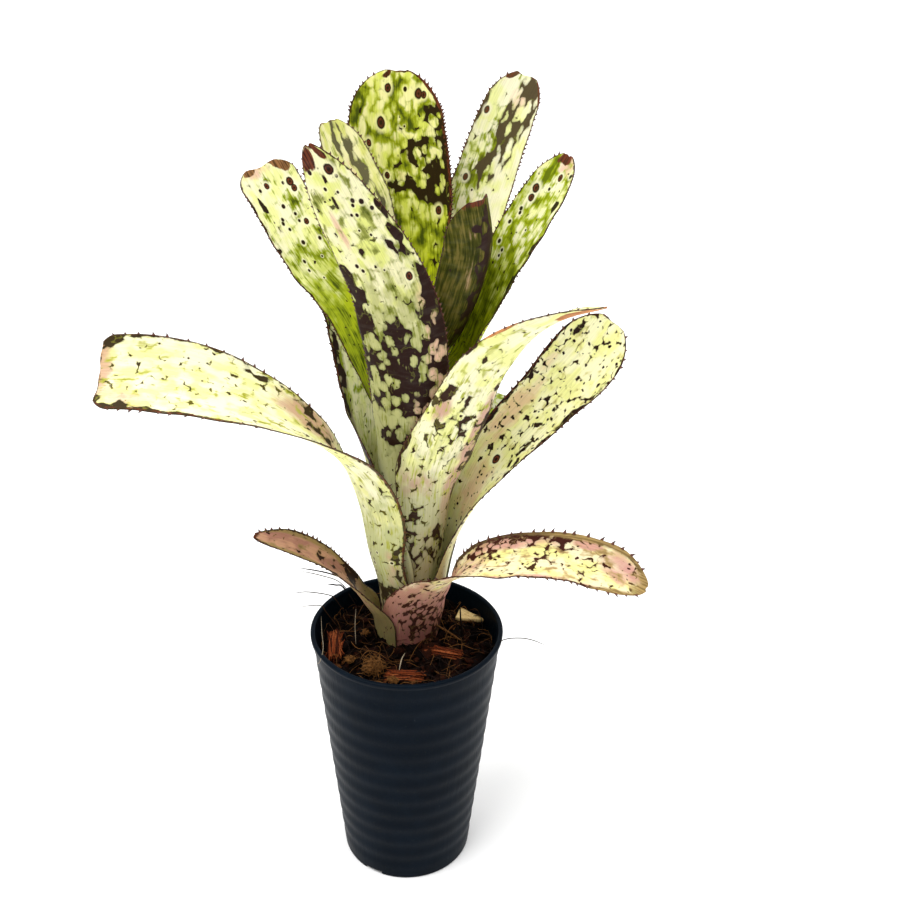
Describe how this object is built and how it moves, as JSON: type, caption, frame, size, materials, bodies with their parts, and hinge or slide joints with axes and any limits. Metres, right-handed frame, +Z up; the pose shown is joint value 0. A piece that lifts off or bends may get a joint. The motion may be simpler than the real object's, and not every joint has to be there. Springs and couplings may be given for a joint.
{
  "type": "potted billbergia",
  "caption": "Tank bromeliad with spotted, spine-edged strap leaves rising from a nested tube, in a black ripple-walled nursery pot filled with bark mix.",
  "frame": {"origin": "centre of the pot's underside, on the surface that the pot stands on", "axes": "+Z up along the pot's axis; +Y away from the viewer of the picture, so -Y is the front; +X to the viewer's right"},
  "size_m": [0.2707, 0.1482, 0.4341],
  "materials": {
    "pot_plastic": "satin blue-black moulded plastic with faint horizontal ripples and light scuffs",
    "bark_mix": "matt dark brown bark and fibre mix, damp in the hollows",
    "pale_wood": "matt split pale yellow wood with straight grain",
    "husk": "matt orange-brown fibrous husk",
    "stem": "matt tan stem with leaf scars",
    "leaf": "semi-gloss stiff leaf, pale yellow-green with maroon and green spots, finely striate, with dark margins and spines"
  },
  "bodies": {
    "root": {"pot": "pot_plastic", "substrate": "bark_mix", "wood_chip": "pale_wood", "husk_chip_1": "husk", "husk_chip_2": "husk", "husk_chip_3": "husk", "stem": "stem", "leaf_01_furled": "leaf", "leaf_02_upper_right": "leaf", "leaf_04_tallest": "leaf", "leaf_05_upper_back_right": "leaf", "leaf_03_upper_back_left": "leaf", "leaf_06_upper_left": "leaf", "leaf_07_upper_front": "leaf", "leaf_08_front_arch": "leaf", "leaf_09_back_left": "leaf", "leaf_10_left_arch": "leaf", "leaf_11_right_broad": "leaf", "leaf_12_low_back": "leaf", "leaf_13_low_right": "leaf", "leaf_14_low_left": "leaf"}
  },
  "joints": []
}
